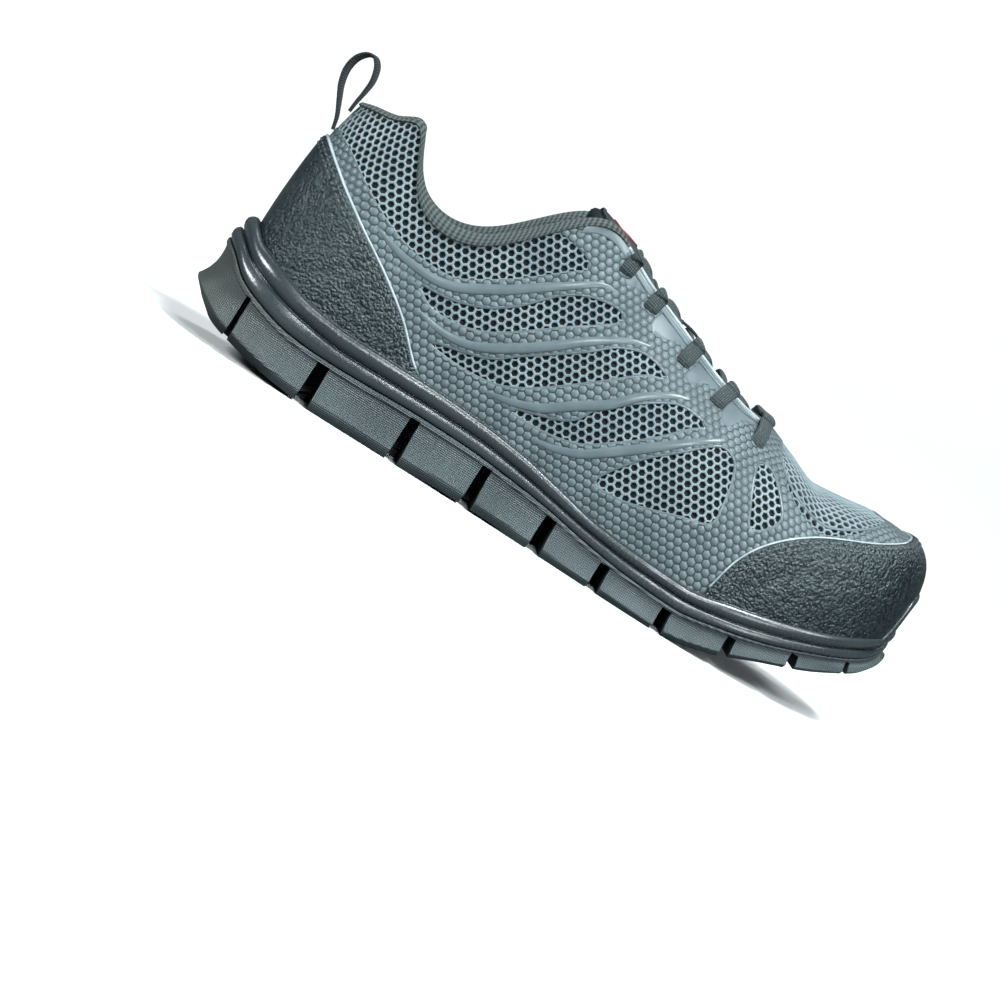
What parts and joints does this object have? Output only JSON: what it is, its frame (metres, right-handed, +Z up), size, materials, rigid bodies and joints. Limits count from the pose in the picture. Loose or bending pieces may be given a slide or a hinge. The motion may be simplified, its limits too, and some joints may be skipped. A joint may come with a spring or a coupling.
{
  "type": "safety sneaker",
  "caption": "Low safety sneaker with a laced mesh and film upper, leather toe cap and heel counter, padded collar, pull loop and a flexible block-tread sole.",
  "frame": {"origin": "on the floor, at the middle of the shoe's length and width", "axes": "+X towards the toe, -Y towards the outer side of a right foot, +Z up from the floor"},
  "size_m": [0.302, 0.1124, 0.1247],
  "materials": {
    "outsole rubber": "matte, moulded",
    "midsole foam": "fine grained, satin",
    "film on mesh": "satin film over open mesh",
    "grained leather": "semi-gloss, pebble grain",
    "sock cloth": "matte brushed cloth",
    "tongue mesh": "matte mesh",
    "smooth film": "satin",
    "braided lace": "matte braid",
    "woven webbing": "matte weave"
  },
  "bodies": {
    "root": {"outsole": "outsole rubber", "midsole": "midsole foam", "insole": "sock cloth", "upper": "film on mesh", "toe_cap": "grained leather", "heel_counter": "grained leather", "wave_lateral_1": "smooth film", "wave_lateral_2": "smooth film", "wave_lateral_3": "smooth film", "wave_lateral_4": "smooth film", "wave_medial_1": "smooth film", "wave_medial_2": "smooth film", "wave_medial_3": "smooth film", "wave_medial_4": "smooth film", "tongue": "tongue mesh", "lace_keeper": "woven webbing", "lace_bar": "braided lace", "lace_cross_1": "braided lace", "lace_cross_2": "braided lace", "lace_cross_3": "braided lace", "lace_cross_4": "braided lace", "pull_loop": "woven webbing"}
  },
  "joints": []
}
